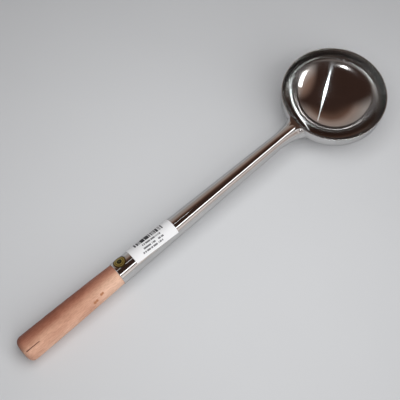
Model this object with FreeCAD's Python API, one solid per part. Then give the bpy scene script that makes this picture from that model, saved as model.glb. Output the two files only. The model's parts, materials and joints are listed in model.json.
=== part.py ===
import FreeCAD, Part
import math
import os

# Soup ladle with a deep spun bowl, a tapered tube shank and a driven-in wood grip, in millimetres.
# It is drawn with the rim level: the bowl's centre line is Z, the handle runs along -X, and z = 0 is where
# the bowl's upright side meets its dressed edge. At the end the whole ladle is laid down on z = 0.

# Bowl, whose bottom is rounded to the rim's radius and the flatness more, so that it always meets the side
rim_diameter = 110.0
bowl_sheet = 1.0
rim_chamfer = 0.3
upright_height = 9.0
side_radius = 18.0
bottom_flatness = 9.0

# Shank
shank_sheet = 0.8
socket_mouth_diameter = 23.7
neck_diameter = 15.8
shank_length = 236.3
flare_length = 29.0
handle_drop = 6.0
mouth_chamfer = 0.3

# Flared end of the shank
flare_half_width_gain = 4.0
flare_flattening = 0.65
flare_centre_drop = 5.4
flare_power = 2.0
flare_section_count = 5
flare_overrun = 12.0

# Weld round the neck
weld_reach = 7.0
weld_edge = 0.4
weld_rise = 1.8
weld_overrun = 10.0
weld_section_count = 4
weld_point_count = 12
weld_below_rim = 0.1

# Grip
grip_showing = 110.4
grip_butt_diameter = 26.0
grip_belly_height = 0.35
butt_edge_radius = 6.0
tenon_length = 45.0
tenon_chamfer = 1.5
tenon_clearance = 0.05

# Nail in the underside of the socket
nail_diameter = 1.6
nail_length = 14.0
nail_point_length = 3.0
nail_head_diameter = 4.0
nail_head_height = 0.9
nail_from_mouth = 12.0
nail_clearance = 0.05

# Paper label and foil seal on the shank
label_from_mouth = 19.8
label_length = 50.0
label_far_angle = -100.0
label_near_angle = 46.0
seal_diameter = 13.0
seal_from_mouth = 8.0
seal_angle = -27.0
sticker_thickness = 0.15
sticker_gap = 0.02

X = FreeCAD.Vector(1, 0, 0)
Y = FreeCAD.Vector(0, 1, 0)
Z = FreeCAD.Vector(0, 0, 1)
CENTRE = FreeCAD.Vector(0, 0, 0)

rim_radius = rim_diameter / 2
bottom_radius = rim_radius + bottom_flatness
wall_x = -rim_radius
mouth_x = wall_x - shank_length
flare_x = wall_x - flare_length
butt_x = mouth_x - grip_showing
AXIS_POINT = FreeCAD.Vector(0, 0, -handle_drop)
shank_taper = (socket_mouth_diameter - neck_diameter) / 2 / (flare_x - mouth_x)
dish_rise = math.sqrt((bottom_radius - side_radius) ** 2 - (rim_radius - side_radius) ** 2)
dish_centre_z = dish_rise - upright_height


def shank_radius(x):
    """Outer radius of the straight taper at x."""
    return socket_mouth_diameter / 2 - shank_taper * (x - mouth_x)


def in_section(x, z):
    return FreeCAD.Vector(x, 0, z)


def on_handle(x, radius):
    """Point of the handle's lengthwise section, a radius above its axis."""
    return in_section(x, radius - handle_drop)


def revolve(edges, point, axis):
    return Part.Face(Part.Wire(edges)).revolve(point, axis, 360)


def line(start, end):
    return Part.LineSegment(start, end).toShape()


def arc(start, middle, end):
    return Part.Arc(start, middle, end).toShape()


def polyline(points):
    return [line(start, end) for start, end in zip(points, points[1:])]


def bowl_curve(inset):
    """Upright band, side arc and bottom arc, from the rim to the centre, moved in by a thickness."""
    side = side_radius - inset
    bottom = bottom_radius - inset
    side_centre = rim_radius - side_radius
    turn = math.asin(side_centre / (bottom_radius - side_radius))

    def on_side(angle):
        return in_section(side_centre + side * math.sin(angle), -upright_height - side * math.cos(angle))

    def on_bottom(angle):
        return in_section(bottom * math.sin(angle), dish_centre_z - bottom * math.cos(angle))

    upright = math.pi / 2
    band = line(in_section(rim_radius - inset, 0), on_side(upright))
    side_arc = arc(on_side(upright), on_side((upright + turn) / 2), on_side(turn))
    bottom_arc = arc(on_bottom(turn), on_bottom(turn / 2), on_bottom(0))
    return [band, side_arc, bottom_arc]


def rim_edge():
    """Cut edge of the sheet, with both corners taken off."""
    inner_radius = rim_radius - bowl_sheet
    return polyline([in_section(rim_radius, 0), in_section(rim_radius - rim_chamfer, rim_chamfer),
                     in_section(inner_radius + rim_chamfer, rim_chamfer), in_section(inner_radius, 0)])


def bottom_point(inset):
    return in_section(0, dish_centre_z - bottom_radius + inset)


def make_bowl():
    wall = line(bottom_point(0), bottom_point(bowl_sheet))
    edges = bowl_curve(0) + [wall] + bowl_curve(bowl_sheet) + rim_edge()
    return revolve(Part.sortEdges(edges)[0], CENTRE, Z)


def make_bowl_filled():
    """The bowl's outside as a full solid, which trims what meets it."""
    lid = polyline([in_section(rim_radius, 0), in_section(rim_radius, rim_chamfer),
                    in_section(0, rim_chamfer), bottom_point(0)])
    return revolve(Part.sortEdges(bowl_curve(0) + lid)[0], CENTRE, Z)


def oval(x, half_width, half_height, centre_z):
    centre = FreeCAD.Vector(x, 0, centre_z)
    ellipse = Part.Ellipse(centre + Y * half_width, centre + Z * half_height, centre)
    return Part.Wire([ellipse.toShape()])


def flare_section(x):
    """Half width, half height and centre height of the neck at x, which stay the same inside the bowl."""
    share = min(max((x - flare_x) / flare_length, 0), 1) ** flare_power
    radius = neck_diameter / 2
    half_width = radius + flare_half_width_gain * share
    half_height = half_width - flare_flattening * share
    return half_width, half_height, -handle_drop - flare_centre_drop * share


def flare_oval(x, inset):
    half_width, half_height, centre_z = flare_section(x)
    return oval(x, half_width - inset, half_height - inset, centre_z)


def spaced(start, end, count):
    return [start + (end - start) * i / (count - 1) for i in range(count)]


def make_shank_filled(inset):
    """Straight taper and flared end as a full solid, reaching some way inside the bowl."""
    taper = Part.makeCone(socket_mouth_diameter / 2 - inset, neck_diameter / 2 - inset,
                          flare_x - mouth_x, on_handle(mouth_x, 0), X)
    places = spaced(flare_x, wall_x, flare_section_count)
    flare = Part.makeLoft([flare_oval(x, inset) for x in places], True, False)
    end = Part.Face(flare_oval(wall_x, inset)).extrude(X * flare_overrun)
    return taper.fuse([flare, end]).removeSplitter()


def nail_x():
    return mouth_x + nail_from_mouth


def nail_hole():
    start = on_handle(nail_x(), -socket_mouth_diameter)
    return Part.makeCylinder(nail_diameter / 2 + nail_clearance, socket_mouth_diameter, start, Z)


def nail_pilot():
    """Hole in the wood, as deep as the nail goes."""
    top = nail_length - shank_radius(nail_x()) + nail_clearance
    start = on_handle(nail_x(), -socket_mouth_diameter)
    return Part.makeCylinder(nail_diameter / 2 + nail_clearance, socket_mouth_diameter + top, start, Z)


def dress_mouth(shank):
    """Takes the outer corner off the socket mouth."""
    rims = [edge for edge in shank.Edges
            if edge.BoundBox.XMax < mouth_x + mouth_chamfer
            and edge.BoundBox.YLength > socket_mouth_diameter - shank_sheet]
    return shank.makeChamfer(mouth_chamfer, rims)


def make_shank():
    tube = make_shank_filled(0).cut(make_shank_filled(shank_sheet))
    return dress_mouth(tube.cut(make_bowl_filled()).cut(nail_hole()))


def bowl_wall_x(z):
    """Where the bowl's outside stands on the handle's side, at a height below its rim."""
    below_band = min(z + upright_height, 0)
    return side_radius - rim_radius - math.sqrt(side_radius ** 2 - below_band ** 2)


def weld_collar(share):
    """Closed curve round the neck, on a plane that leans as the bowl's wall does, where share is 1."""
    behind = weld_reach * (share - 1)
    _, half_height, centre_z = flare_section(wall_x)
    low_z = centre_z - half_height
    top_x = wall_x + behind
    low_x = bowl_wall_x(low_z) + behind
    _, top_half_height, top_centre_z = flare_section(top_x)
    _, low_half_height, low_centre_z = flare_section(low_x)
    top = in_section(top_x, top_centre_z + top_half_height)
    low = in_section(low_x, low_centre_z - low_half_height)
    centre = (top + low) / 2
    grow = weld_edge + weld_rise * share ** 2
    half_width, _, _ = flare_section(centre.x)
    across = Y * (half_width + grow)
    up = (top - low) / 2
    up = up * (1 + grow / up.Length)
    turns = [math.tau * i / weld_point_count for i in range(weld_point_count)]
    curve = Part.BSplineCurve()
    curve.interpolate([centre + across * math.cos(turn) + up * math.sin(turn) for turn in turns], True)
    return Part.Wire([curve.toShape()])


def make_neck_weld():
    """Concave fillet of weld between the flared neck and the bowl, flush with the rim on top."""
    shares = spaced(0, 1 + weld_overrun / weld_reach, weld_section_count)
    fillet = Part.makeLoft([weld_collar(share) for share in shares], True, False)
    room = 2 * rim_radius
    top = rim_chamfer - weld_below_rim
    _, half_height, centre_z = flare_section(wall_x)
    inner_x = bowl_wall_x(centre_z - half_height) + weld_reach
    # Flush on top, and no deeper inside the bowl than the reach, so that no end of it comes out below
    at_joint = Part.makeBox(inner_x + room, room, room, FreeCAD.Vector(-room, -room / 2, top - room))
    return fillet.common(at_joint).cut(make_shank_filled(0)).cut(make_bowl_filled())


def make_grip():
    butt_radius = grip_butt_diameter / 2
    tenon_inset = shank_sheet + tenon_clearance
    tenon_x = mouth_x + tenon_length
    at_butt = on_handle(butt_x + butt_edge_radius, butt_radius)
    at_mouth = on_handle(mouth_x, shank_radius(mouth_x) - tenon_inset)
    belly = (at_butt + at_mouth) / 2 + Z * grip_belly_height
    edge_centre = on_handle(butt_x + butt_edge_radius, butt_radius - butt_edge_radius)
    edge_middle = edge_centre + (Z - X) * (butt_edge_radius / math.sqrt(2))
    flat_end = on_handle(butt_x, butt_radius - butt_edge_radius)
    tenon_radius = shank_radius(tenon_x) - tenon_inset
    tenon = [at_mouth, on_handle(tenon_x - tenon_chamfer, tenon_radius + shank_taper * tenon_chamfer),
             on_handle(tenon_x, tenon_radius - tenon_chamfer), on_handle(tenon_x, 0),
             on_handle(butt_x, 0), flat_end]
    edges = [arc(flat_end, edge_middle, at_butt), arc(at_butt, belly, at_mouth)] + polyline(tenon)
    return revolve(edges, AXIS_POINT, X).cut(nail_pilot())


def make_grip_nail():
    """Round-headed nail, driven up into the wood from below."""
    seat = -shank_radius(nail_x()) - nail_clearance
    tip = seat + nail_length
    shaft = nail_diameter / 2
    head = nail_head_diameter / 2

    def beside(offset, height):
        return on_handle(nail_x() + offset, height)

    crown = seat - nail_head_height
    dome_radius = (head ** 2 + nail_head_height ** 2) / (2 * nail_head_height)
    half_way = math.asin(head / dome_radius) / 2
    dome_middle = beside(dome_radius * math.sin(half_way), crown + dome_radius * (1 - math.cos(half_way)))
    outline = polyline([beside(0, crown), beside(0, tip), beside(shaft, tip - nail_point_length),
                        beside(shaft, seat), beside(head, seat)])
    dome = arc(beside(head, seat), dome_middle, beside(0, crown))
    return revolve(outline + [dome], beside(0, 0), Z)


def sticker_band(start, end, first_angle, last_angle):
    """Thin sheet wrapped on the taper; angles run from the top, positive towards -Y."""
    inner = sticker_gap
    outer = sticker_gap + sticker_thickness
    outline = [(start, inner), (end, inner), (end, outer), (start, outer), (start, inner)]
    corners = [on_handle(x, shank_radius(x) + height) for x, height in outline]
    section = Part.Face(Part.Wire(polyline(corners)))
    section.rotate(AXIS_POINT, X, first_angle)
    return section.revolve(AXIS_POINT, X, last_angle - first_angle)


def make_price_label():
    start = mouth_x + label_from_mouth
    return sticker_band(start, start + label_length, label_far_angle, label_near_angle)


def make_foil_seal():
    middle = mouth_x + seal_from_mouth
    radius = seal_diameter / 2
    half_turn = math.degrees(math.asin(radius / shank_radius(middle + radius)))
    band = sticker_band(middle - radius, middle + radius, seal_angle - half_turn, seal_angle + half_turn)
    punch = Part.makeCylinder(radius, socket_mouth_diameter, on_handle(middle, 0), Z)
    punch.rotate(AXIS_POINT, X, seal_angle)
    return band.common(punch)


def resting_tilt():
    """Angle at which the bowl's bottom and the rounded edge of the butt touch one flat surface."""
    across = -(butt_x + butt_edge_radius)
    up = dish_centre_z - (butt_edge_radius - grip_butt_diameter / 2 - handle_drop)
    return math.atan2(up, across) - math.asin((bottom_radius - butt_edge_radius) / math.hypot(across, up))


def laid_down(pieces):
    """Turns the ladle to its resting tilt and puts it on z = 0, centred over the origin."""
    tilt = resting_tilt()
    for shape in pieces.values():
        shape.rotate(CENTRE, Y, math.degrees(tilt))
    box = Part.Compound(list(pieces.values())).optimalBoundingBox(False, False)
    dish_centre_height = dish_centre_z * math.cos(tilt)
    shift = FreeCAD.Vector(-box.Center.x, 0, bottom_radius - dish_centre_height)
    for shape in pieces.values():
        shape.translate(shift)
    return pieces


def main():
    pieces = {
        "bowl": make_bowl(),
        "shank": make_shank(),
        "neck_weld": make_neck_weld(),
        "grip": make_grip(),
        "grip_nail": make_grip_nail(),
        "price_label": make_price_label(),
        "foil_seal": make_foil_seal(),
    }
    os.makedirs("parts", exist_ok=True)
    for name, shape in laid_down(pieces).items():
        shape.exportStep("parts/" + name + ".step")
        box = shape.BoundBox
        print(name, shape.isValid(), len(shape.Solids), round(shape.Volume, 2),
              [round(value, 2) for value in (box.XMin, box.YMin, box.ZMin, box.XMax, box.YMax, box.ZMax)])


main()
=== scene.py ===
import json
import math

import bmesh
import bpy
from mathutils import Matrix, Vector


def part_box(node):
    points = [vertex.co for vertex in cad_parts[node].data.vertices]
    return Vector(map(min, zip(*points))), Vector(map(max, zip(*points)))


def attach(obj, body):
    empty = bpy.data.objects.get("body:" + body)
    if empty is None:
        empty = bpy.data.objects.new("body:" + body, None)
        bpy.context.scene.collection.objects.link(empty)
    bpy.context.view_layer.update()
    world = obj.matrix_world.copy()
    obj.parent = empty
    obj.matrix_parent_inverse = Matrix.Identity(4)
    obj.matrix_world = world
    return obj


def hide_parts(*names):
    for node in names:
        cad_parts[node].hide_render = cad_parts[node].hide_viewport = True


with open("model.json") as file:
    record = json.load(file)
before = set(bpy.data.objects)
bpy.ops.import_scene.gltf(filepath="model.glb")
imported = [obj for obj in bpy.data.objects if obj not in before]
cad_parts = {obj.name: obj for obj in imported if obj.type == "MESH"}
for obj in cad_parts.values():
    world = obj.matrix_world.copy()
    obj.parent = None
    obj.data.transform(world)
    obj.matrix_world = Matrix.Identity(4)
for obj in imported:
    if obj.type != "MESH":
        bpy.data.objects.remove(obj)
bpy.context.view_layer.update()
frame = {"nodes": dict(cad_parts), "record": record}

MM = 0.001

# Sizes of the ladle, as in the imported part. It is shaped with the rim level, the bowl's centre line on Z
# and the handle along -X, and each finished mesh is then laid down as the part lies.
RIM_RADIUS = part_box("bowl")[1].y
BOWL_SHEET = 1.0 * MM
RIM_RISE = 0.3 * MM
UPRIGHT_HEIGHT = 9.0 * MM
SIDE_RADIUS = 18.0 * MM
BOTTOM_RADIUS = 64.0 * MM
WALL_X = -RIM_RADIUS

HANDLE_DROP = 6.0 * MM
SHANK_LENGTH = 236.3 * MM
SHANK_SHEET = 0.8 * MM
MOUTH_RADIUS = 11.85 * MM
MOUTH_EDGE = 0.3 * MM
NECK_RADIUS = 7.9 * MM
MOUTH_X = WALL_X - SHANK_LENGTH

FLARE_LENGTH = 29.0 * MM
FLARE_GAIN = 4.0 * MM
FLARE_FLATTENING = 0.65 * MM
FLARE_DROP = 5.4 * MM
FLARE_POWER = 2.0
FLARE_X = WALL_X - FLARE_LENGTH

WELD_REACH = 7.0 * MM
WELD_EDGE = 0.4 * MM
WELD_RISE = 1.8 * MM
WELD_TOP = 0.2 * MM
PATCH_TOP = 0.45 * MM
PATCH_EDGE = 0.35 * MM
WELD_UNEVENNESS = 0.5 * MM
WELD_WAVE_LENGTH = 9.0 * MM
WELD_RIPPLE_SHARE = 0.5
WELD_RIPPLES_PER_WAVE = 2.3

GRIP_SHOWING = 110.4 * MM
GRIP_BUTT_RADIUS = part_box("grip")[1].y
GRIP_BELLY = 0.35 * MM
BUTT_EDGE_RADIUS = 6.0 * MM
TENON_LENGTH = 45.0 * MM
TENON_CHAMFER = 1.5 * MM
BUTT_X = MOUTH_X - GRIP_SHOWING

STICKER_GAP = 0.02 * MM
STICKER_SHEET = 0.15 * MM

# Where the part lies: its handle runs along the butt face's axis, from that face's middle.
BUTT_MOUNT = next(m for m in frame["record"]["mounts"] if m["name"] == "butt_face")
BUTT_OUTWARD = Vector(BUTT_MOUNT["axis"])
TILT = math.atan2(BUTT_OUTWARD.z, -BUTT_OUTWARD.x)
TURNED = Matrix.Rotation(TILT, 4, "Y")
BUTT_MIDDLE = Vector((BUTT_X, 0, -HANDLE_DROP))
LAID = Matrix.Translation(Vector(BUTT_MOUNT["pos_m"]) - TURNED @ BUTT_MIDDLE) @ TURNED
BOWL_CENTRE = LAID @ Vector((0, 0, 0))


# Shapes shared by several pieces

MERGE_DISTANCE = 0.001 * MM


def arc_points(centre_x, centre_z, radius, start, end, count):
    """Points of an arc in the lengthwise section; angles run from straight down towards +X."""
    angles = [start + (end - start) * i / count for i in range(count + 1)]
    return [Vector((centre_x + radius * math.sin(a), 0, centre_z - radius * math.cos(a))) for a in angles]


def spun(profile, centre, axis, steps):
    """Closed skin of revolution from a profile that starts and ends on the axis."""
    bm = bmesh.new()
    verts = [bm.verts.new(point) for point in profile]
    edges = [bm.edges.new(pair) for pair in zip(verts, verts[1:])]
    bmesh.ops.spin(bm, geom=verts + edges, cent=centre, axis=axis, angle=math.tau, steps=steps,
                   use_merge=True)
    bmesh.ops.remove_doubles(bm, verts=bm.verts, dist=MERGE_DISTANCE)
    return bm


def oval(centre, half_width, upward):
    """Place and size of a unit circle across the handle; upward reaches from its centre to its top."""
    axes = Matrix((upward, Vector((0, half_width, 0)), Vector((1, 0, 0)))).transposed()
    return Matrix.Translation(centre) @ axes.to_4x4()


def drawn_tube(ovals, segments):
    """Skin through a row of ovals, and its first and last ring of vertices."""
    bm = bmesh.new()
    first = bmesh.ops.create_circle(bm, segments=segments, radius=1.0, matrix=ovals[0])["verts"]
    edges = list(dict.fromkeys(edge for vert in first for edge in vert.link_edges))
    last = first
    for before, after in zip(ovals, ovals[1:]):
        grown = bmesh.ops.extrude_edge_only(bm, edges=edges)["geom"]
        last = [item for item in grown if isinstance(item, bmesh.types.BMVert)]
        edges = [item for item in grown if isinstance(item, bmesh.types.BMEdge) and item.is_boundary]
        bmesh.ops.transform(bm, matrix=after @ before.inverted(), verts=last)
    return bm, first, last


def close_ends(bm):
    """Joins the two open rings of a tube into one closed skin."""
    bmesh.ops.bridge_loops(bm, edges=[edge for edge in bm.edges if edge.is_boundary])


def shank_radius(x):
    """Outside radius of the tube's straight taper at x."""
    share = (x - MOUTH_X) / (FLARE_X - MOUTH_X)
    return MOUTH_RADIUS + (NECK_RADIUS - MOUTH_RADIUS) * share


def flare_section(x):
    """Half width, half height and centre height of the flared neck at x."""
    share = min(max((x - FLARE_X) / FLARE_LENGTH, 0), 1) ** FLARE_POWER
    half_width = NECK_RADIUS + FLARE_GAIN * share
    return half_width, half_width - FLARE_FLATTENING * share, -HANDLE_DROP - FLARE_DROP * share


def flare_oval(x, inset):
    """Section of the flared neck at x, moved in by a thickness."""
    half_width, half_height, centre_z = flare_section(x)
    return oval(Vector((x, 0, centre_z)), half_width - inset, Vector((0, 0, half_height - inset)))


def round_oval(x, inset):
    """Section of the straight taper at x, moved in by a thickness."""
    radius = shank_radius(x) - inset
    return oval(Vector((x, 0, -HANDLE_DROP)), radius, Vector((0, 0, radius)))


def on_shank(x, angle, height):
    """Point above the shank's taper; the angle runs from the top towards -Y."""
    radius = shank_radius(x) + height
    return Vector((x, -radius * math.sin(angle), radius * math.cos(angle) - HANDLE_DROP))


def spaced(start, end, count):
    """Evenly spaced values, both ends included."""
    return [start + (end - start) * i / (count - 1) for i in range(count)]


# Bowl

BOWL_STEPS = 256
SIDE_STEPS = 32
BOTTOM_STEPS = 36
RIM_STEPS = 8
SIDE_CENTRE = RIM_RADIUS - SIDE_RADIUS
SIDE_TURN = math.asin(SIDE_CENTRE / (BOTTOM_RADIUS - SIDE_RADIUS))
SIDE_FOOT_Z = -UPRIGHT_HEIGHT - SIDE_RADIUS * math.cos(SIDE_TURN)
DISH_CENTRE_Z = math.sqrt((BOTTOM_RADIUS - SIDE_RADIUS) ** 2 - SIDE_CENTRE ** 2) - UPRIGHT_HEIGHT
# Heights between which the mirror of the bottom turns into the satin of the steep side
SATIN_LOW = -31.0 * MM
SATIN_HIGH = -14.0 * MM


def bowl_curve(inset):
    """Section of the bowl from the middle of its bottom to the rim, moved in by a thickness."""
    bottom = arc_points(0, DISH_CENTRE_Z, BOTTOM_RADIUS - inset, 0, SIDE_TURN, BOTTOM_STEPS)
    side = arc_points(SIDE_CENTRE, -UPRIGHT_HEIGHT, SIDE_RADIUS - inset, SIDE_TURN, math.pi / 2, SIDE_STEPS)
    return bottom + side[1:] + [Vector((RIM_RADIUS - inset, 0, 0))]


def rim_curve():
    """Rounded cut edge of the sheet, from outside to inside."""
    middle = RIM_RADIUS - BOWL_SHEET / 2
    turns = spaced(0, math.pi, RIM_STEPS + 1)[1:-1]
    return [Vector((middle + BOWL_SHEET / 2 * math.cos(t), 0, RIM_RISE * math.sin(t))) for t in turns]


def wall_radius(z, inset):
    """Radius of the bowl's side at a height below the rim, moved in by a thickness."""
    below_band = min(z + UPRIGHT_HEIGHT, 0.0)
    return SIDE_CENTRE + math.sqrt((SIDE_RADIUS - inset) ** 2 - below_band ** 2)


def sheet_radius(z):
    """Radius of the middle of the bowl's sheet, from the rim down to the bottom."""
    if z > SIDE_FOOT_Z:
        return wall_radius(z, BOWL_SHEET / 2)
    return math.sqrt(max((BOTTOM_RADIUS - BOWL_SHEET / 2) ** 2 - (z - DISH_CENTRE_Z) ** 2, 0))


def bowl_skin():
    """Spun bowl, marked for the satin on the steep inside and the cut edge."""
    inside = bowl_curve(BOWL_SHEET)[::-1]
    profile = bowl_curve(0) + rim_curve() + inside
    bm = spun(profile, (0, 0, 0), (0, 0, 1), BOWL_STEPS)
    satin = bm.verts.layers.float.new("satin")
    for vert in bm.verts:
        share = min(max((vert.co.z - SATIN_LOW) / (SATIN_HIGH - SATIN_LOW), 0.0), 1.0)
        within = vert.co.xy.length < sheet_radius(vert.co.z)
        on_edge = vert.co.z > 0
        vert[satin] = share if within or on_edge else 0.0
    return bm


def seat_on_wall(verts):
    """Moves an end ring along X into the middle of the bowl's sheet, where the sheet hides it."""
    for vert in verts:
        vert.co.x = -math.sqrt(wall_radius(vert.co.z, BOWL_SHEET / 2) ** 2 - vert.co.y ** 2)


# Shank and its weld

SHANK_SEGMENTS = 128
FLARE_RINGS = 28
TAPER_RINGS = 30


def shank_skin():
    """Tube with a flared end on the bowl, open at the socket mouth."""
    flare = spaced(WALL_X, FLARE_X, FLARE_RINGS)
    taper = spaced(FLARE_X, MOUTH_X + MOUTH_EDGE, TAPER_RINGS)[1:]
    outside = [flare_oval(x, 0) for x in flare] + [round_oval(x, 0) for x in taper]
    edge = [round_oval(MOUTH_X, MOUTH_EDGE), round_oval(MOUTH_X, SHANK_SHEET)]
    inside = [round_oval(x, SHANK_SHEET) for x in taper[::-1]]
    inside += [flare_oval(x, SHANK_SHEET) for x in flare[::-1]]
    bm, outer_end, inner_end = drawn_tube(outside + edge + inside, SHANK_SEGMENTS)
    seat_on_wall(outer_end)
    seat_on_wall(inner_end)
    close_ends(bm)
    return bm


WELD_RINGS = 16


def weld_oval(share, grow):
    """Grown section of the neck on a plane that leans as the bowl's wall does; share is 1 at the wall."""
    behind = WELD_REACH * (share - 1)
    _, half_height, centre_z = flare_section(WALL_X)
    top_x = WALL_X + behind
    low_x = behind - wall_radius(centre_z - half_height, 0)
    _, top_half_height, top_centre_z = flare_section(top_x)
    _, low_half_height, low_centre_z = flare_section(low_x)
    top = Vector((top_x, 0, top_centre_z + top_half_height))
    low = Vector((low_x, 0, low_centre_z - low_half_height))
    centre = (top + low) / 2
    half_width, _, _ = flare_section(centre.x)
    upward = (top - low) / 2
    return oval(centre, half_width + grow, upward * (1 + grow / upward.length))


def weld_skin():
    """Concave fillet from the neck to the bowl, ground flush with the rim on top."""
    shares = spaced(1, 0, WELD_RINGS)
    outside = [weld_oval(share, WELD_EDGE + WELD_RISE * share ** 2) for share in shares]
    under = [weld_oval(share, -SHANK_SHEET / 2) for share in (0, 1)]
    bm, outer_end, inner_end = drawn_tube(outside + under, SHANK_SEGMENTS)
    for vert in bm.verts:
        turn = math.tau * vert.co.y / WELD_WAVE_LENGTH
        ripple = WELD_RIPPLE_SHARE * math.sin(WELD_RIPPLES_PER_WAVE * turn)
        vert.co.x += WELD_UNEVENNESS * (math.sin(turn) + ripple)
        vert.co.z = min(vert.co.z, WELD_TOP)
    seat_on_wall(outer_end)
    seat_on_wall(inner_end)
    close_ends(bm)
    add_patch(bm)
    return bm


# How far the flush patch reaches behind the rim, in millimetres, at even steps from its near end to its far
PATCH_REACHES = [0.0, 1.2, 2.3, 1.9, 2.9, 3.3, 2.8, 3.5, 3.0, 3.2, 2.4, 1.3, 0.0]
PATCH_NEAR_Y = -5.0 * MM
PATCH_FAR_Y = 11.0 * MM
PATCH_INSIDE = 1.15 * MM
PATCH_FOOT = -0.5 * MM
PATCH_TAPER = 0.96


def pulled_up(bm, face, height):
    """Pulls a face up into a block and returns the block's top."""
    grown = bmesh.ops.extrude_face_region(bm, geom=[face])["geom"]
    top = next(item for item in grown if isinstance(item, bmesh.types.BMFace))
    bmesh.ops.translate(bm, verts=top.verts, vec=(0, 0, height))
    return top


def add_patch(bm):
    """Flat patch of weld that was ground flush across the rim, with an uneven edge on the neck."""
    steps = spaced(PATCH_NEAR_Y, PATCH_FAR_Y, len(PATCH_REACHES))
    rim_x = [-math.sqrt(RIM_RADIUS ** 2 - y ** 2) for y in steps]
    behind = [Vector((x - reach * MM, y, PATCH_FOOT)) for x, y, reach in zip(rim_x, steps, PATCH_REACHES)]
    inside = [Vector((x + PATCH_INSIDE, y, PATCH_FOOT)) for x, y in zip(rim_x, steps)]
    foot = bm.faces.new([bm.verts.new(point) for point in behind + inside[::-1]])
    shoulder = pulled_up(bm, foot, PATCH_TOP - PATCH_EDGE - PATCH_FOOT)
    top = pulled_up(bm, shoulder, PATCH_EDGE)
    middle = Matrix.Translation(-top.calc_center_median())
    bmesh.ops.scale(bm, vec=(PATCH_TAPER, PATCH_TAPER, 1), space=middle, verts=top.verts)


# Grip

GRIP_STEPS = 240
GRIP_LENGTHS = 120
CRACK_ANGLE = math.radians(24.0)
CRACK_START_X = BUTT_X + 3.0 * MM
CRACK_END_X = BUTT_X + 18.0 * MM
CRACK_DEPTH = 0.8 * MM
CRACK_HALF_ANGLE = math.radians(4.0)
CRACK_NARROWING = 0.6
BUTT_EDGE_POINTS = 12


def belly_radius(x):
    """Radius of the wood between the rounded butt and the socket mouth."""
    start = BUTT_X + BUTT_EDGE_RADIUS
    share = (x - start) / (MOUTH_X - start)
    end_radius = MOUTH_RADIUS - SHANK_SHEET
    straight = GRIP_BUTT_RADIUS + (end_radius - GRIP_BUTT_RADIUS) * share
    return straight + 4 * GRIP_BELLY * share * (1 - share)


def grip_skin():
    """Turned grip from the middle of its flat butt to the end of the tenon in the socket."""
    edge_x = BUTT_X + BUTT_EDGE_RADIUS
    edge_z = GRIP_BUTT_RADIUS - BUTT_EDGE_RADIUS
    edge = [(edge_x - BUTT_EDGE_RADIUS * math.cos(t), edge_z + BUTT_EDGE_RADIUS * math.sin(t))
            for t in spaced(0, math.pi / 2, BUTT_EDGE_POINTS)]
    body = [(x, belly_radius(x)) for x in spaced(edge_x, MOUTH_X, GRIP_LENGTHS)[1:]]
    tenon_x = MOUTH_X + TENON_LENGTH
    tenon_radius = shank_radius(tenon_x) - SHANK_SHEET
    tenon = [(tenon_x - TENON_CHAMFER, tenon_radius), (tenon_x, tenon_radius - TENON_CHAMFER), (tenon_x, 0)]
    outline = [(BUTT_X, 0)] + edge + body + tenon
    profile = [Vector((x, 0, radius - HANDLE_DROP)) for x, radius in outline]
    return spun(profile, (0, 0, -HANDLE_DROP), (1, 0, 0), GRIP_STEPS)


def cut_crack(bm):
    """Short drying crack near the butt, narrower towards its end and marked for its colour."""
    mark = bm.verts.layers.float.new("crack")
    for vert in bm.verts:
        share = (vert.co.x - CRACK_START_X) / (CRACK_END_X - CRACK_START_X)
        angle = math.atan2(-vert.co.y, vert.co.z + HANDLE_DROP)
        if 0 <= share < 1:
            half_angle = CRACK_HALF_ANGLE * (1 - CRACK_NARROWING * share)
            depth = max(0.0, 1 - abs(angle - CRACK_ANGLE) / half_angle)
            inward = Vector((0, -vert.co.y, -HANDLE_DROP - vert.co.z)).normalized()
            vert.co += inward * CRACK_DEPTH * depth
            vert[mark] = depth
    return bm


# Paper label and foil seal

LABEL_START_X = MOUTH_X + 19.8 * MM
LABEL_LENGTH = 50.0 * MM
LABEL_FAR_ANGLE = math.radians(-100.0)
LABEL_NEAR_ANGLE = math.radians(46.0)
LABEL_SKEW = math.radians(8.0)
LABEL_CELLS_ALONG = 40
LABEL_CELLS_ROUND = 48
SEAL_X = MOUTH_X + 8.0 * MM
SEAL_ANGLE = math.radians(-27.0)
SEAL_RADIUS = 6.5 * MM
SEAL_RINGS = 24
SEAL_STEPS = 64


def sticker(bm):
    """Gives a laid sheet its thickness."""
    bmesh.ops.recalc_face_normals(bm, faces=bm.faces)
    bmesh.ops.solidify(bm, geom=bm.faces[:], thickness=STICKER_SHEET)
    return bm


def label_skin():
    """Sheet stuck round the shank a little askew, with U along it and V from far edge to near."""
    bm = bmesh.new()
    bm.loops.layers.uv.new("sheet")
    bmesh.ops.create_grid(bm, x_segments=LABEL_CELLS_ALONG, y_segments=LABEL_CELLS_ROUND, size=0.5,
                          calc_uvs=True)
    for vert in bm.verts:
        along = vert.co.x + 0.5
        round_it = vert.co.y + 0.5
        straight = LABEL_FAR_ANGLE + (LABEL_NEAR_ANGLE - LABEL_FAR_ANGLE) * round_it
        angle = straight + LABEL_SKEW * (2 * along - 1)
        vert.co = on_shank(LABEL_START_X + LABEL_LENGTH * along, angle, STICKER_GAP + STICKER_SHEET)
    return sticker(bm)


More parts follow.
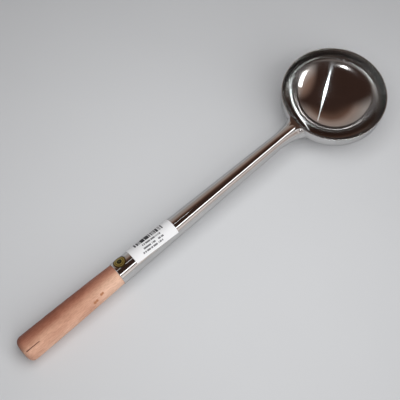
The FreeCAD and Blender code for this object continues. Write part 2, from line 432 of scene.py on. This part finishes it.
def seal_skin():
    """Round sticker laid on the shank and marked with the share of its radius, for its rings."""
    profile = [Vector((reach, 0, 0)) for reach in spaced(0, SEAL_RADIUS, SEAL_RINGS + 1)]
    bm = spun(profile, (0, 0, 0), (0, 0, 1), SEAL_STEPS)
    reach = bm.verts.layers.float.new("reach")
    for vert in bm.verts:
        vert[reach] = vert.co.length / SEAL_RADIUS
        x = SEAL_X + vert.co.x
        angle = SEAL_ANGLE + math.asin(vert.co.y / shank_radius(x))
        vert.co = on_shank(x, angle, STICKER_GAP + STICKER_SHEET)
    return sticker(bm)


# Materials

EVEN = (1.0, 1.0, 1.0)
# Range that most values of the clouds lie in
CLOUD_REACH = (0.3, 0.7)
# Share of a spot's radius that has its full colour
SPOT_CORE = 0.4


class Wiring:
    """A node tree under construction, with short ways to add and join its nodes."""

    def __init__(self, tree):
        self.nodes = tree.nodes
        self.links = tree.links

    def add(self, kind, **settings):
        """New node with the given settings."""
        node = self.nodes.new(kind)
        for name, value in settings.items():
            setattr(node, name, value)
        return node

    def feed(self, target, source):
        """Gives a socket another node's output, or a plain number or colour."""
        if isinstance(source, bpy.types.NodeSocket):
            self.links.new(source, target)
        elif target.type == "RGBA":
            target.default_value = (*source, 1.0)
        else:
            target.default_value = source

    def handle_place(self):
        """Object coordinates turned back to the level ladle, where X runs along the handle."""
        coords = self.add("ShaderNodeTexCoord")
        turned = self.add("ShaderNodeMapping", vector_type="TEXTURE")
        self.feed(turned.inputs["Location"], LAID.translation)
        self.feed(turned.inputs["Rotation"], (0, TILT, 0))
        self.feed(turned.inputs["Vector"], coords.outputs["Object"])
        return turned.outputs["Vector"]

    def axes(self, vector):
        """The three parts of a vector."""
        node = self.add("ShaderNodeSeparateXYZ")
        self.feed(node.inputs["Vector"], vector)
        return node.outputs

    def ramp(self, factor, stops):
        """Colours that change along a value, from a list of positions and colours."""
        node = self.add("ShaderNodeValToRGB")
        elements = node.color_ramp.elements
        while len(elements) < len(stops):
            elements.new(0.5)
        for element, (position, colour) in zip(elements, stops):
            element.position = position
            element.color = (*colour, 1.0)
        self.feed(node.inputs["Fac"], factor)
        return node.outputs["Color"]

    def spread(self, value, low, high, to_low, to_high):
        """Soft step between two values as another goes from low to high."""
        node = self.add("ShaderNodeMapRange", interpolation_type="SMOOTHSTEP")
        self.feed(node.inputs["From Min"], low)
        self.feed(node.inputs["From Max"], high)
        self.feed(node.inputs["To Min"], to_low)
        self.feed(node.inputs["To Max"], to_high)
        self.feed(node.inputs["Value"], value)
        return node.outputs["Result"]

    def mix(self, factor, first, second, blend="MIX"):
        """Second colour over the first, by a factor."""
        node = self.add("ShaderNodeMix", data_type="RGBA", blend_type=blend)
        self.feed(node.inputs["Factor"], factor)
        self.feed(next(s for s in node.inputs if s.name == "A" and s.type == "RGBA"), first)
        self.feed(next(s for s in node.inputs if s.name == "B" and s.type == "RGBA"), second)
        return next(s for s in node.outputs if s.type == "RGBA")

    def math(self, operation, first, second=0.0):
        """One step of arithmetic on values."""
        node = self.add("ShaderNodeMath", operation=operation)
        self.feed(node.inputs[0], first)
        self.feed(node.inputs[1], second)
        return node.outputs["Value"]

    def between(self, value, low, high):
        """Hard mask of the values between two limits."""
        above = self.math("GREATER_THAN", value, low)
        below = self.math("LESS_THAN", value, high)
        return self.math("MULTIPLY", above, below)


def make_clouds():
    """Soft noise laid along the handle, which the materials share."""
    group = bpy.data.node_groups.new("clouds", "ShaderNodeTree")
    group.interface.new_socket("Stretch", in_out="INPUT", socket_type="NodeSocketVector")
    group.interface.new_socket("Scale", in_out="INPUT", socket_type="NodeSocketFloat")
    group.interface.new_socket("Detail", in_out="INPUT", socket_type="NodeSocketFloat")
    group.interface.new_socket("Clouds", in_out="OUTPUT", socket_type="NodeSocketFloat")
    wiring = Wiring(group)
    given = wiring.add("NodeGroupInput").outputs
    stretched = wiring.add("ShaderNodeVectorMath", operation="MULTIPLY")
    wiring.feed(stretched.inputs[0], wiring.handle_place())
    wiring.feed(stretched.inputs[1], given["Stretch"])
    noise = wiring.add("ShaderNodeTexNoise")
    wiring.feed(noise.inputs["Vector"], stretched.outputs["Vector"])
    wiring.feed(noise.inputs["Scale"], given["Scale"])
    wiring.feed(noise.inputs["Detail"], given["Detail"])
    wiring.feed(wiring.add("NodeGroupOutput").inputs["Clouds"], noise.outputs["Fac"])
    return group


CLOUDS = make_clouds()


class Finish(Wiring):
    """A material under construction."""

    def __init__(self, name, **values):
        self.material = bpy.data.materials.new(name)
        self.material.use_nodes = True
        super().__init__(self.material.node_tree)
        self.shader = self.nodes["Principled BSDF"]
        for socket, value in values.items():
            self.give(socket.replace("_", " "), value)

    def give(self, socket, source):
        """Feeds a socket of the material's shader."""
        self.feed(self.shader.inputs[socket], source)

    def clouds(self, scale, stretch=EVEN, detail=3.0):
        """The shared soft noise at a scale, drawn out along the handle by a small first stretch."""
        node = self.add("ShaderNodeGroup", node_tree=CLOUDS)
        self.feed(node.inputs["Stretch"], stretch)
        self.feed(node.inputs["Scale"], scale)
        self.feed(node.inputs["Detail"], detail)
        return node.outputs["Clouds"]

    def mottle(self, clouds, dark, pale):
        """Soft patches of two colours."""
        return self.ramp(clouds, list(zip(CLOUD_REACH, (dark, pale))))

    def uneven_roughness(self, clouds, low, high):
        """Roughness that wanders between two values."""
        self.give("Roughness", self.spread(clouds, *CLOUD_REACH, low, high))

    def spot(self, centre, radius):
        """Soft round mask about a point of the level ladle."""
        gap = self.add("ShaderNodeVectorMath", operation="DISTANCE")
        self.feed(gap.inputs[0], self.handle_place())
        self.feed(gap.inputs[1], centre)
        return self.spread(gap.outputs["Value"], SPOT_CORE * radius, radius, 1.0, 0.0)

    def bump(self, height, strength, distance):
        """Fine relief of the surface."""
        node = self.add("ShaderNodeBump")
        self.feed(node.inputs["Strength"], strength)
        self.feed(node.inputs["Distance"], distance)
        self.feed(node.inputs["Height"], height)
        self.give("Normal", node.outputs["Normal"])


STEEL_EDGE = (0.58, 0.58, 0.59)
STEEL_COLOURS = ((0.60, 0.595, 0.59), (0.66, 0.655, 0.65))
STEEL_CLOUD_SCALE = 60.0
TUBE_CLOUD_SCALE = 220.0
TUBE_ROUGHNESS = (0.045, 0.065)
MIRROR_ROUGHNESS = 0.05
SATIN_ROUGHNESS = 0.22
TURNING_ANISOTROPY = 0.9


def polished_steel(name):
    """Stainless steel whose roughness is still to be given."""
    steel = Finish(name, Metallic=1.0, Specular_Tint=STEEL_EDGE)
    steel.give("Base Color", steel.mottle(steel.clouds(STEEL_CLOUD_SCALE), *STEEL_COLOURS))
    return steel


def tube_steel():
    """Even polish of the tube and the weld."""
    steel = polished_steel("tube_steel")
    steel.uneven_roughness(steel.clouds(TUBE_CLOUD_SCALE), *TUBE_ROUGHNESS)
    return steel.material


def bowl_steel():
    """Mirror bottom, with a satin of fine turning marks on the steep side."""
    steel = polished_steel("bowl_steel")
    satin = steel.add("ShaderNodeAttribute", attribute_name="satin").outputs["Fac"]
    steel.give("Roughness", steel.spread(satin, 0.0, 1.0, MIRROR_ROUGHNESS, SATIN_ROUGHNESS))
    steel.give("Anisotropic", TURNING_ANISOTROPY)
    return steel.material


# Place along the handle, angle from the top and radius of the small brown blemishes
BLEMISHES = [(-324.4 * MM, math.radians(53.5), 2.2 * MM), (-321.8 * MM, math.radians(52.0), 2.0 * MM),
             (-315.4 * MM, math.radians(41.8), 1.8 * MM), (-313.6 * MM, math.radians(40.6), 1.6 * MM)]
BLEMISH_COLOUR = (0.42, 0.18, 0.09)
WOOD_STOPS = [(0.32, (0.52, 0.27, 0.18)), (0.68, (0.67, 0.385, 0.265))]
WOOD_PATCH_SCALE = 130.0
WOOD_PATCH_STRETCH = (0.35, 1.0, 1.0)
WOOD_PATCH_DETAIL = 4.0
WORN_REACH = (-335.0 * MM, -298.0 * MM)
WORN_SHARE = 0.5
WORN_COLOUR = (0.82, 0.56, 0.41)
FLECK_STOPS = [(0.36, (0.66, 0.58, 0.55)), (0.58, EVEN)]
FLECK_SCALE = 1100.0
FLECK_STRETCH = (0.22, 1.0, 1.0)
FLECK_SHARE = 0.42
FLECK_RELIEF = 0.3 * MM
FLECK_RELIEF_SHARE = 0.2
CRACK_COLOUR = (0.08, 0.03, 0.02)
WOOD_ROUGHNESS = (0.62, 0.5)
# Painted light and shade across the grip: tints of the wood from its near side, brightened as if lit, to
# its far side, darkened as painted shade
PAINTED_LIGHT_AND_SHADE_STOPS = [(0.10, (1.12, 1.16, 1.2)), (0.32, (1.0, 1.0, 1.0)), (0.56, (0.74, 0.60, 0.57)),
               (0.80, (0.56, 0.38, 0.35)), (0.97, (0.48, 0.30, 0.27))]


def grip_wood():
    """Pinkish wood, worn pale towards the socket, with painted shade darkening its far side and painted
    light brightening its near side, and flecked along.
    """
    wood = Finish("grip_wood", Specular_IOR_Level=0.25)
    place = wood.axes(wood.handle_place())
    patches = wood.clouds(WOOD_PATCH_SCALE, WOOD_PATCH_STRETCH, WOOD_PATCH_DETAIL)
    worn = wood.spread(place["X"], *WORN_REACH, 0.0, WORN_SHARE)
    across = wood.spread(place["Y"], -GRIP_BUTT_RADIUS, GRIP_BUTT_RADIUS, 0.0, 1.0)
    flecks = wood.clouds(FLECK_SCALE, FLECK_STRETCH)
    colour = wood.mix(worn, wood.ramp(patches, WOOD_STOPS), WORN_COLOUR)
    # Painted shade darkens the far side of the grip and painted light brightens its near side.
    colour = wood.mix(1.0, colour, wood.ramp(across, PAINTED_LIGHT_AND_SHADE_STOPS), "MULTIPLY")
    colour = wood.mix(FLECK_SHARE, colour, wood.ramp(flecks, FLECK_STOPS), "MULTIPLY")
    for x, angle, radius in BLEMISHES:
        out = belly_radius(x)
        centre = Vector((x, -out * math.sin(angle), out * math.cos(angle) - HANDLE_DROP))
        colour = wood.mix(wood.spot(centre, radius), colour, BLEMISH_COLOUR)
    crack = wood.add("ShaderNodeAttribute", attribute_name="crack").outputs["Fac"]
    wood.give("Base Color", wood.mix(crack, colour, CRACK_COLOUR))
    wood.uneven_roughness(flecks, *WOOD_ROUGHNESS)
    wood.bump(flecks, FLECK_RELIEF_SHARE, FLECK_RELIEF)
    return wood.material


NAIL_COLOURS = ((0.45, 0.44, 0.43), (0.55, 0.54, 0.53))
NAIL_CLOUD_SCALE = 500.0
NAIL_ROUGHNESS = (0.25, 0.4)


def nail_steel():
    """Dull grey of plain drawn wire."""
    steel = Finish("nail_steel", Metallic=1.0)
    clouds = steel.clouds(NAIL_CLOUD_SCALE)
    steel.give("Base Color", steel.mottle(clouds, *NAIL_COLOURS))
    steel.uneven_roughness(clouds, *NAIL_ROUGHNESS)
    return steel.material


PAPER_COLOURS = ((0.82, 0.82, 0.83), (0.87, 0.87, 0.88))
PAPER_CLOUD_SCALE = 120.0
PAPER_ROUGHNESS = (0.45, 0.6)
# Plain print of the label: a block of bars and three rows of short dashes, placed by shares of the label's
# length and breadth, with the share of their columns that is inked.
BARS_ALONG = (0.16, 0.82)
BARS_ACROSS = (0.22, 0.50)
BAR_COLUMNS = 88.0
BAR_SHARE = 0.70
BAR_INK = (0.03, 0.03, 0.035)
DASH_ROWS = [((0.29, 0.71), 0.60), ((0.27, 0.73), 0.735), ((0.21, 0.67), 0.85)]
DASH_COLUMNS = 74.0
DASH_SHARE = 0.72
DASH_HEIGHT = 0.06
DASH_INK = (0.15, 0.15, 0.16)


def label_paper():
    """White paper with its plain print."""
    paper = Finish("label_paper", Specular_IOR_Level=0.35)
    sheet = paper.add("ShaderNodeUVMap", uv_map="sheet").outputs["UV"]
    axes = paper.axes(sheet)
    along, across = axes["X"], axes["Y"]

    def marks(columns, row, share):
        """Columns that are inked or left blank by chance, in the given share."""
        cells = paper.add("ShaderNodeCombineXYZ")
        paper.feed(cells.inputs["X"], paper.math("FLOOR", paper.math("MULTIPLY", along, columns)))
        paper.feed(cells.inputs["Y"], row)
        dice = paper.add("ShaderNodeTexWhiteNoise", noise_dimensions="2D")
        paper.feed(dice.inputs["Vector"], cells.outputs["Vector"])
        return paper.math("GREATER_THAN", dice.outputs["Value"], 1.0 - share)

    def block(columns, row, share, reach, low, high):
        """Marks of one row, kept to a reach along the label and to a band across it."""
        kept = paper.math("MULTIPLY", marks(columns, row, share), paper.between(along, *reach))
        return paper.math("MULTIPLY", kept, paper.between(across, low, high))

    clouds = paper.clouds(PAPER_CLOUD_SCALE)
    printed = paper.mottle(clouds, *PAPER_COLOURS)
    for row, (reach, middle) in enumerate(DASH_ROWS, 1):
        low = middle - DASH_HEIGHT / 2
        dashes = block(DASH_COLUMNS, float(row), DASH_SHARE, reach, low, low + DASH_HEIGHT)
        printed = paper.mix(dashes, printed, DASH_INK)
    bars = block(BAR_COLUMNS, 0.0, BAR_SHARE, BARS_ALONG, *BARS_ACROSS)
    paper.give("Base Color", paper.mix(bars, printed, BAR_INK))
    paper.uneven_roughness(clouds, *PAPER_ROUGHNESS)
    return paper.material


# Colours of the seal from its middle to its edge, by shares of its radius
FOIL_RINGS = [(0.0, (0.14, 0.11, 0.03)), (0.22, (0.03, 0.027, 0.01)), (0.38, (0.04, 0.035, 0.012)),
              (0.46, (0.58, 0.45, 0.13)), (0.60, (0.11, 0.08, 0.02)), (0.74, (0.50, 0.37, 0.10)),
              (0.84, (0.14, 0.095, 0.03)), (0.97, (0.07, 0.05, 0.02))]
FOIL_DULL = (0.5, 0.5, 0.5)
FOIL_DULL_SHARE = 0.5
FOIL_CLOUD_SCALE = 900.0
FOIL_ROUGHNESS = (0.3, 0.45)


def gold_foil():
    """Gold leaf with a dark middle and two paler rings round it."""
    foil = Finish("gold_foil", Metallic=0.7)
    reach = foil.add("ShaderNodeAttribute", attribute_name="reach").outputs["Fac"]
    clouds = foil.clouds(FOIL_CLOUD_SCALE)
    dulled = foil.mottle(clouds, FOIL_DULL, EVEN)
    foil.give("Base Color", foil.mix(FOIL_DULL_SHARE, foil.ramp(reach, FOIL_RINGS), dulled, "MULTIPLY"))
    foil.uneven_roughness(clouds, *FOIL_ROUGHNESS)
    return foil.material


# Pieces on the frame

SHARP_ANGLE = math.radians(35.0)


def put_in_order(bm):
    """Sorts points and faces by place, because the operators' own order changes from run to run."""
    for rank, vert in enumerate(sorted(bm.verts, key=lambda vert: tuple(vert.co))):
        vert.index = rank
    bm.verts.sort()
    for rank, face in enumerate(sorted(bm.faces, key=lambda face: tuple(face.calc_center_median()))):
        face.index = rank
    bm.faces.sort()


def place_piece(name, bm, material):
    """Lays a finished skin down as the part lies and lets it stand for the node of the same name."""
    bmesh.ops.recalc_face_normals(bm, faces=bm.faces)
    bm.transform(LAID)
    put_in_order(bm)
    mesh = bpy.data.meshes.new(name + "_finished")
    bm.to_mesh(mesh)
    bm.free()
    mesh.shade_smooth()
    mesh.set_sharp_from_angle(angle=SHARP_ANGLE)
    mesh.materials.append(material)
    piece = bpy.data.objects.new(name + "_finished", mesh)
    bpy.context.scene.collection.objects.link(piece)
    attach(piece, "root")
    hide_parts(name)
    return piece


def dress_node(name, material):
    """Gives a node that keeps its own shape a better finish."""
    for slot in frame["nodes"][name].material_slots:
        slot.material = material


def build_ladle():
    """Makes the pieces and returns them by the names of their nodes."""
    tube = tube_steel()
    pieces = {
        "bowl": place_piece("bowl", bowl_skin(), bowl_steel()),
        "shank": place_piece("shank", shank_skin(), tube),
        "neck_weld": place_piece("neck_weld", weld_skin(), tube),
        "grip": place_piece("grip", cut_crack(grip_skin()), grip_wood()),
        "price_label": place_piece("price_label", label_skin(), label_paper()),
        "foil_seal": place_piece("foil_seal", seal_skin(), gold_foil()),
    }
    dress_node("grip_nail", nail_steel())
    return pieces


# Table, light and camera

TABLE_SIZE = 6.0
TABLE_COLOURS = ((0.665, 0.675, 0.69), (0.685, 0.695, 0.71))
TABLE_CLOUD_SCALE = 4.0


def lay_table():
    """Wide pale grey board that the ladle lies on."""
    bm = bmesh.new()
    bmesh.ops.create_grid(bm, x_segments=1, y_segments=1, size=TABLE_SIZE / 2)
    mesh = bpy.data.meshes.new("table")
    bm.to_mesh(mesh)
    bm.free()
    table = bpy.data.objects.new("table", mesh)
    bpy.context.scene.collection.objects.link(table)
    paint = Finish("table_paint", Roughness=0.9, Specular_IOR_Level=0.1)
    paint.give("Base Color", paint.mottle(paint.clouds(TABLE_CLOUD_SCALE), *TABLE_COLOURS))
    mesh.materials.append(paint.material)


def direction(azimuth, elevation):
    """Unit vector towards an azimuth from +X and an elevation over the table."""
    flat = math.cos(elevation)
    return Vector((flat * math.cos(azimuth), flat * math.sin(azimuth), math.sin(elevation)))


def lamp(name, place, side, back, width, height, radiance, colour=EVEN):
    """Rectangular lamp with its width along side, which shines away from back.

    Radiance is how bright the lamp itself looks.
    """
    light = bpy.data.lights.new(name, "AREA")
    light.color = colour
    light.shape = "RECTANGLE"
    light.size = width
    light.size_y = height
    light.energy = radiance * math.pi * width * height
    holder = bpy.data.objects.new(name, light)
    turned = Matrix((side, back.cross(side), back)).transposed()
    holder.matrix_world = Matrix.Translation(place) @ turned.to_4x4()
    holder.visible_camera = False
    bpy.context.scene.collection.objects.link(holder)
    return holder


def aimed_lamp(name, aim, azimuth, elevation, distance, width, height, radiance, roll=0.0):
    """Lamp that shines on a point from a direction and a distance."""
    back = direction(azimuth, elevation)
    level = Vector((-math.sin(azimuth), math.cos(azimuth), 0))
    side = Matrix.Rotation(roll, 3, back) @ level
    return lamp(name, aim + back * distance, side, back, width, height, radiance)


def light_only(holder, pieces):
    """Lets a lamp shine on the given pieces and on nothing else."""
    receivers = bpy.data.collections.new(holder.name + "_receivers")
    for piece in pieces:
        receivers.objects.link(piece)
    holder.light_linking.receiver_collection = receivers


SOFTBOX_AIM = Vector((-0.04, -0.01, 0))
SOFTBOX_AZIMUTH = math.radians(-98.0)
SOFTBOX_ELEVATION = math.radians(85.0)
SOFTBOX_DISTANCE = 0.5
SOFTBOX_SIZE = 0.45
SOFTBOX_RADIANCE = 2.55

SIDE_LIGHT_AZIMUTH = math.radians(-88.0)
SIDE_LIGHT_ELEVATION = math.radians(33.0)
SIDE_LIGHT_DISTANCE = 2.0
SIDE_LIGHT_SIZE = 2.2
SIDE_LIGHT_RADIANCE = 1.5


def light_all():
    """Large soft lamps over the handle and from the side, which no metal mirrors."""
    softbox = aimed_lamp("softbox", SOFTBOX_AIM, SOFTBOX_AZIMUTH, SOFTBOX_ELEVATION, SOFTBOX_DISTANCE,
                         SOFTBOX_SIZE, SOFTBOX_SIZE, SOFTBOX_RADIANCE)
    side_light = aimed_lamp("side_light", BOWL_CENTRE, SIDE_LIGHT_AZIMUTH, SIDE_LIGHT_ELEVATION,
                            SIDE_LIGHT_DISTANCE, SIDE_LIGHT_SIZE, SIDE_LIGHT_SIZE, SIDE_LIGHT_RADIANCE)
    softbox.visible_glossy = False
    side_light.visible_glossy = False


WINDOW_AZIMUTH = math.radians(-65.0)
WINDOW_ELEVATION = math.radians(20.0)
WINDOW_DISTANCE = 2.0
WINDOW_WIDTH = 0.95
WINDOW_HEIGHT = 0.28
WINDOW_RADIANCE = 5.0
WINDOW_ROLL = math.radians(25.0)

BULB_AZIMUTH = math.radians(-155.0)
BULB_ELEVATION = math.radians(20.0)
BULB_DISTANCE = 1.6
BULB_SIZE = 0.05
BULB_RADIANCE = 120.0


def light_bowl(pieces):
    """Bright window and a small bulb that the bowl mirrors."""
    window = aimed_lamp("window", BOWL_CENTRE, WINDOW_AZIMUTH, WINDOW_ELEVATION, WINDOW_DISTANCE,
                        WINDOW_WIDTH, WINDOW_HEIGHT, WINDOW_RADIANCE, WINDOW_ROLL)
    bulb = aimed_lamp("bulb", BOWL_CENTRE, BULB_AZIMUTH, BULB_ELEVATION, BULB_DISTANCE,
                      BULB_SIZE, BULB_SIZE, BULB_RADIANCE)
    light_only(window, [pieces["bowl"]])
    light_only(bulb, [pieces["bowl"]])


TUBE_MIDDLE = LAID @ Vector((-170.0 * MM, 0, 0))
# Both ends, width and radiance of the strips; their ends are measured from the middle of the tube
TUBE_STRIPS = {
    "white_strip": (Vector((-0.20, -0.92, 0.87)), Vector((0.98, -0.08, 1.25)), 0.14, 3.0),
    "pale_strip": (Vector((-0.20, -1.19, 0.42)), Vector((0.98, -0.58, 1.11)), 0.40, 0.5),
    "thin_strip": (Vector((-0.24, 0.20, 1.18)), Vector((0.20, 0.20, 1.18)), 0.05, 1.6),
}


def light_tube(pieces):
    """Long strips over the handle, which the round tube mirrors as lines along it."""
    for name, (start, end, width, radiance) in TUBE_STRIPS.items():
        middle = (start + end) / 2
        along = (end - start).normalized()
        back = (middle - along * middle.dot(along)).normalized()
        strip = lamp(name, TUBE_MIDDLE + middle, along, back, (end - start).length, width, radiance)
        light_only(strip, [pieces["shank"], pieces["neck_weld"]])


ARCH_AZIMUTH = math.radians(-55.0)
ARCH_OFFSET = 0.237
ARCH_DISTANCE = 1.6
ARCH_START = math.radians(42.0)
ARCH_END = math.radians(168.0)
ARCH_LAMPS = 24
ARCH_BRIGHT = math.radians(109.0)
ARCH_BRIGHT_REACH = math.radians(25.0)
ARCH_WIDTHS = (0.025, 0.06)
ARCH_RADIANCES = (1.2, 30.0)
ARCH_COLOUR = (0.90, 0.98, 1.0)


def light_arch(pieces):
    """Row of narrow lamps on an upright arch, which the bowl mirrors as one long streak."""
    aside = direction(ARCH_AZIMUTH, 0) * ARCH_OFFSET
    level = direction(ARCH_AZIMUTH + math.pi / 2, 0)
    upward = Vector((0, 0, 1))
    radius = math.sqrt(1 - ARCH_OFFSET ** 2)
    length = radius * ARCH_DISTANCE * (ARCH_END - ARCH_START) / (ARCH_LAMPS - 1)
    for i, turn in enumerate(spaced(ARCH_START, ARCH_END, ARCH_LAMPS)):
        back = aside + radius * (level * math.cos(turn) + upward * math.sin(turn))
        forward = upward * math.cos(turn) - level * math.sin(turn)
        glow = math.exp(-((turn - ARCH_BRIGHT) / ARCH_BRIGHT_REACH) ** 2)
        width = ARCH_WIDTHS[0] + (ARCH_WIDTHS[1] - ARCH_WIDTHS[0]) * glow ** 2
        radiance = ARCH_RADIANCES[0] + (ARCH_RADIANCES[1] - ARCH_RADIANCES[0]) * glow
        place = BOWL_CENTRE + back * ARCH_DISTANCE
        tube = lamp(f"arch_{i}", place, forward.cross(back), back, width, length, radiance, ARCH_COLOUR)
        light_only(tube, [pieces["bowl"]])


FILL_COLOUR = (0.185, 0.18, 0.18)
BACKDROP_COLOUR = (0.62, 0.63, 0.65)
DARK_COLOUR = (0.045, 0.024, 0.018)
# Direction of each wall, the cosines between which it fades in, and its colours from the floor up
FAR_WALL = (math.radians(50.0), 0.0)
FAR_WALL_FADE = (0.1, 0.55)
FAR_WALL_STOPS = [(0.0, (0.38, 0.365, 0.35)), (0.45, (0.33, 0.305, 0.285)), (0.68, (0.31, 0.24, 0.205)),
                  (0.80, (0.12, 0.07, 0.05)), (0.95, (0.02, 0.01, 0.005))]
NEAR_WALL = (math.radians(-65.0), math.radians(18.0))
NEAR_WALL_FADE = (0.80, 0.97)
NEAR_WALL_STOPS = [(0.0, (0.62, 0.61, 0.60)), (0.25, (0.58, 0.55, 0.53)), (0.40, (0.47, 0.41, 0.38)),
                   (0.58, (0.27, 0.18, 0.14)), (0.75, (0.20, 0.12, 0.09))]
LOW_BAND_COLOUR = (0.62, 0.615, 0.62)
LOW_BAND_TOP = (0.09, 0.17)


def light_room():
    """Dim brown room that the metal mirrors.

    Other surfaces get an even fill, and the camera sees a pale backdrop.
    """
    world = bpy.data.worlds.new("room")
    bpy.context.scene.world = world
    world.use_nodes = True
    wiring = Wiring(world.node_tree)
    toward = wiring.add("ShaderNodeTexCoord").outputs["Generated"]

    def facing(azimuth, elevation, low, high):
        """Soft mask of the directions about one."""
        node = wiring.add("ShaderNodeVectorMath", operation="DOT_PRODUCT")
        wiring.feed(node.inputs[0], toward)
        wiring.feed(node.inputs[1], direction(azimuth, elevation))
        return wiring.spread(node.outputs["Value"], low, high, 0.0, 1.0)

    height = wiring.axes(toward)["Z"]
    far_wall = facing(*FAR_WALL, *FAR_WALL_FADE)
    near_wall = facing(*NEAR_WALL, *NEAR_WALL_FADE)
    room = wiring.mix(far_wall, DARK_COLOUR, wiring.ramp(height, FAR_WALL_STOPS), "ADD")
    room = wiring.mix(near_wall, room, wiring.ramp(height, NEAR_WALL_STOPS), "ADD")
    room = wiring.mix(wiring.spread(height, *LOW_BAND_TOP, 1.0, 0.0), room, LOW_BAND_COLOUR)
    seen = wiring.add("ShaderNodeLightPath").outputs
    mirrored = wiring.mix(seen["Is Glossy Ray"], FILL_COLOUR, room)
    shown = wiring.mix(seen["Is Camera Ray"], mirrored, BACKDROP_COLOUR)
    wiring.feed(wiring.nodes["Background"].inputs["Color"], shown)


# The camera's place and aim, in the frame of the level ladle
CAMERA_PLACE = Vector((-349.1, -187.6, 637.0)) * MM
CAMERA_HEADING = math.radians(49.103)
CAMERA_DOWN = math.radians(68.411)
CAMERA_ROLL = math.radians(-0.63)
CAMERA_LENS = 63.0
CAMERA_SENSOR = 36.0
CAMERA_NEAREST = 0.01


def set_camera():
    """Camera that looks down on the ladle from over its handle."""
    camera = bpy.data.cameras.new("camera")
    camera.lens = CAMERA_LENS
    camera.sensor_width = CAMERA_SENSOR
    camera.clip_start = CAMERA_NEAREST
    holder = bpy.data.objects.new("camera", camera)
    back = -direction(CAMERA_HEADING, -CAMERA_DOWN)
    right = Vector((math.sin(CAMERA_HEADING), -math.cos(CAMERA_HEADING), 0))
    level = Matrix((right, back.cross(right), back)).transposed()
    turned = level @ Matrix.Rotation(CAMERA_ROLL, 3, "Z")
    holder.matrix_world = LAID @ Matrix.Translation(CAMERA_PLACE) @ turned.to_4x4()
    bpy.context.scene.collection.objects.link(holder)
    bpy.context.scene.camera = holder


ladle = build_ladle()
lay_table()
light_all()
light_bowl(ladle)
light_tube(ladle)
light_arch(ladle)
light_room()
set_camera()
bpy.context.scene.view_settings.view_transform = "Standard"
